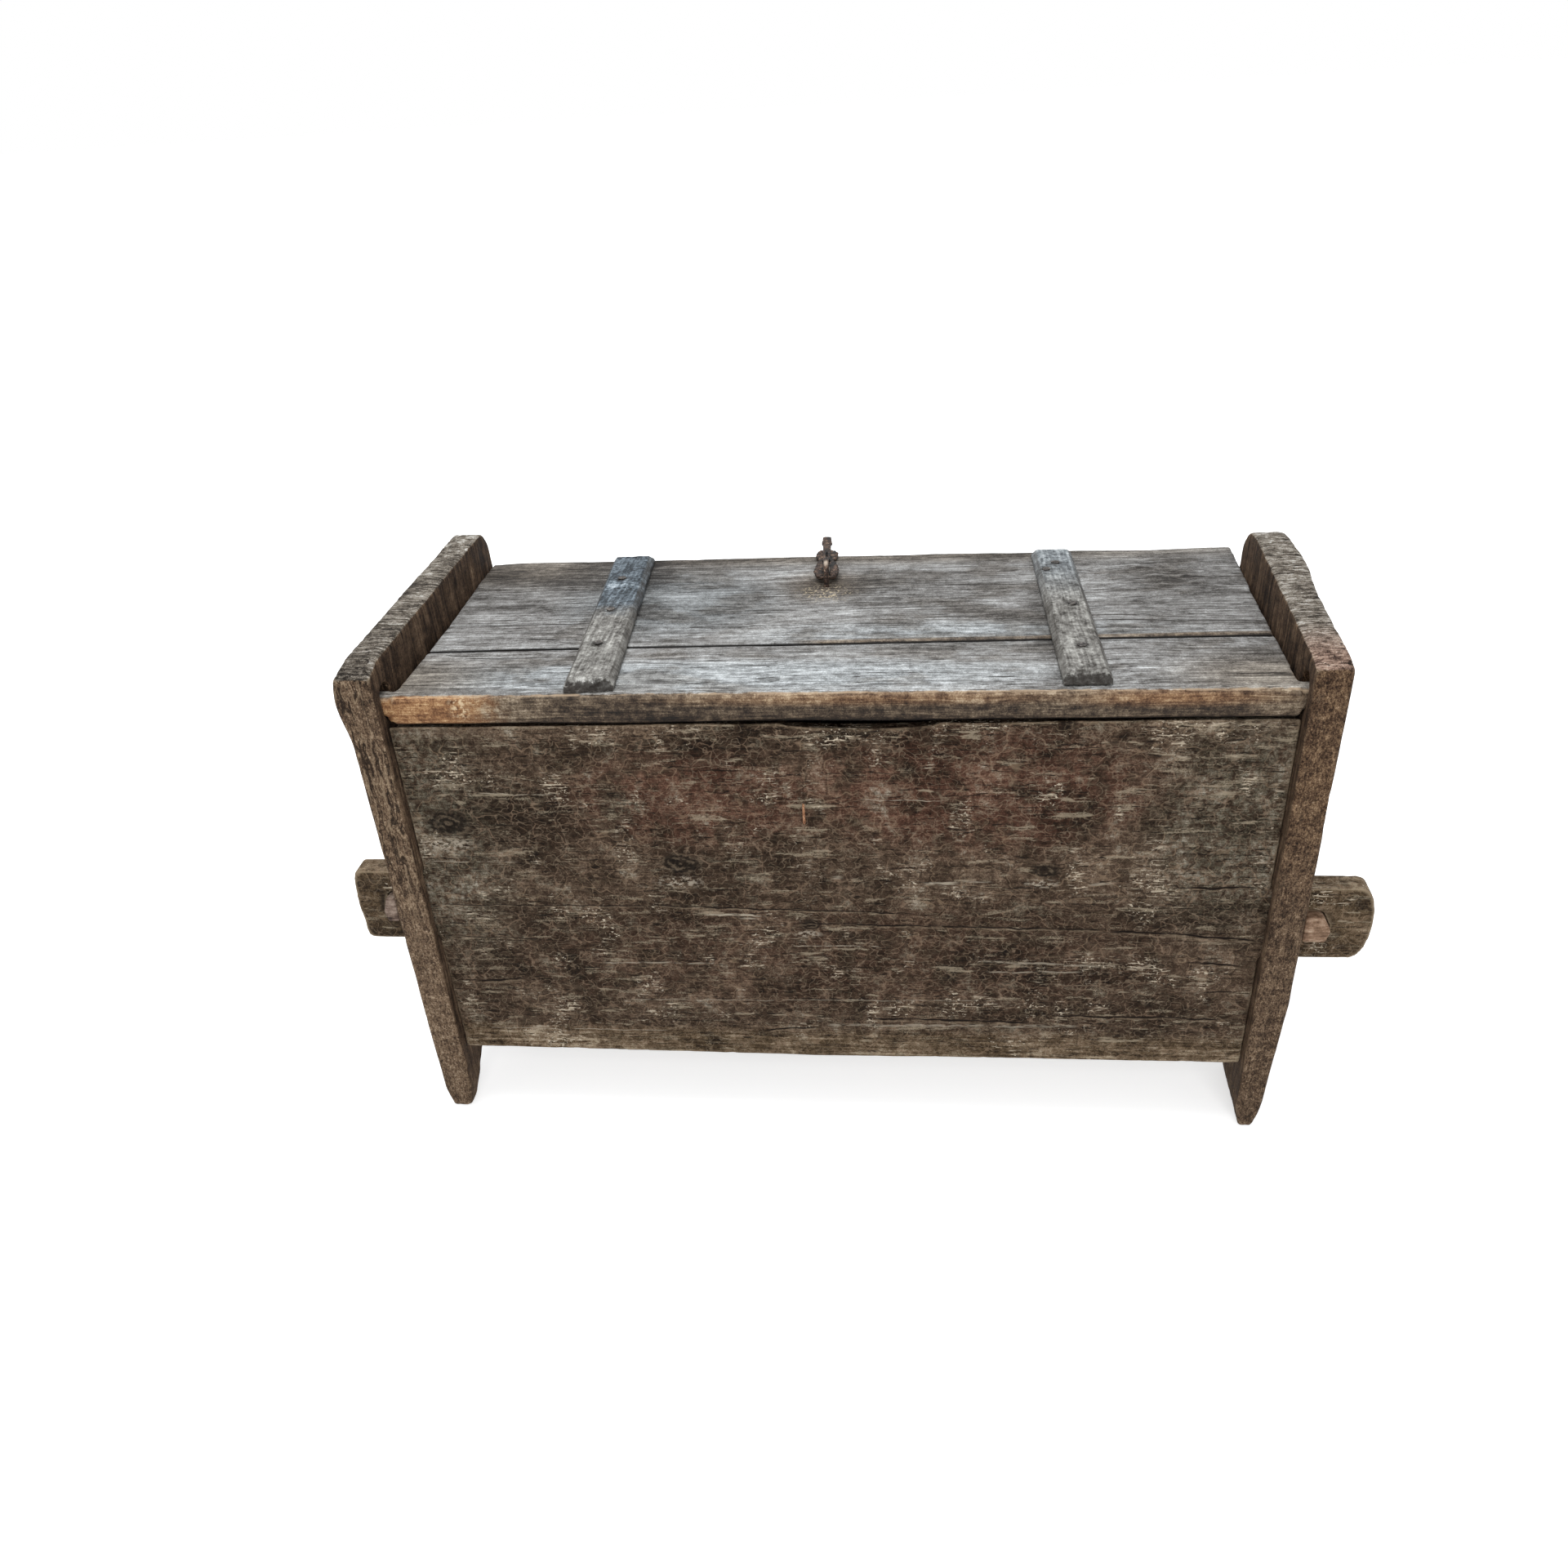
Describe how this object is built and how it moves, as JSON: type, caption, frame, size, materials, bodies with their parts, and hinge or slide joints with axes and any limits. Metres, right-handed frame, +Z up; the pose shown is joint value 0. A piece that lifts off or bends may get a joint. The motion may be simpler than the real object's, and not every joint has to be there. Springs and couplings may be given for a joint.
{
  "type": "storage chest",
  "caption": "Plank-built storage chest on two footed end boards, with tusk-tenoned sides, a lid turning on wooden pintles and a forged hasp.",
  "frame": {"origin": "middle of the whole chest's box, on the floor", "axes": "+X along the chest to the end with the longer tenons, +Y from the rear panel to the front panel under the hasp, +Z up"},
  "size_m": [1.2328, 0.501, 0.67],
  "materials": {
    "board_wood": "hewn and weathered brown plank, silver-grey on its top edge",
    "panel_wood": "hewn, dark brown and worn, with fine cracks",
    "inside_wood": "rough sawn, unfinished",
    "lid_wood": "weathered silver grey, raised grain",
    "batten_wood": "weathered blue grey",
    "peg_wood": "bare reddish brown, cut end grain",
    "iron": "forged and rusted, worn bright on the bow"
  },
  "bodies": {
    "chest": {"end_board_left": "board_wood", "end_board_right": "board_wood", "rear_panel": "panel_wood", "front_panel": "panel_wood", "floor_plank_1": "inside_wood", "floor_plank_2": "inside_wood", "floor_plank_3": "inside_wood", "tusk_peg_rear_left": "peg_wood", "tusk_peg_rear_right": "peg_wood", "tusk_peg_front_left": "peg_wood", "tusk_peg_front_right": "peg_wood", "rear_panel_nail": "iron"},
    "lid": {"lid_plank_rear": "lid_wood", "lid_plank_front": "lid_wood", "lid_batten_left": "batten_wood", "lid_batten_right": "batten_wood", "batten_nail_left_1": "iron", "batten_nail_left_2": "iron", "batten_nail_left_3": "iron", "batten_nail_right_1": "iron", "batten_nail_right_2": "iron", "batten_nail_right_3": "iron", "batten_nail_right_4": "iron", "hasp_staple": "iron"},
    "hasp": {"hasp": "iron"}
  },
  "joints": [
    {"name": "lid_hinge", "type": "hinge", "parent": "chest", "child": "lid", "pos_m": [-0.02144, -0.21826, 0.5972], "axis": [1, 0, 0], "range_deg": [0, 135]},
    {"name": "hasp_hinge", "type": "hinge", "parent": "lid", "child": "hasp", "pos_m": [-0.04004, 0.09593, 0.6196], "axis": [0.9986, 0.0523, 0], "range_deg": [0, 176]}
  ]
}
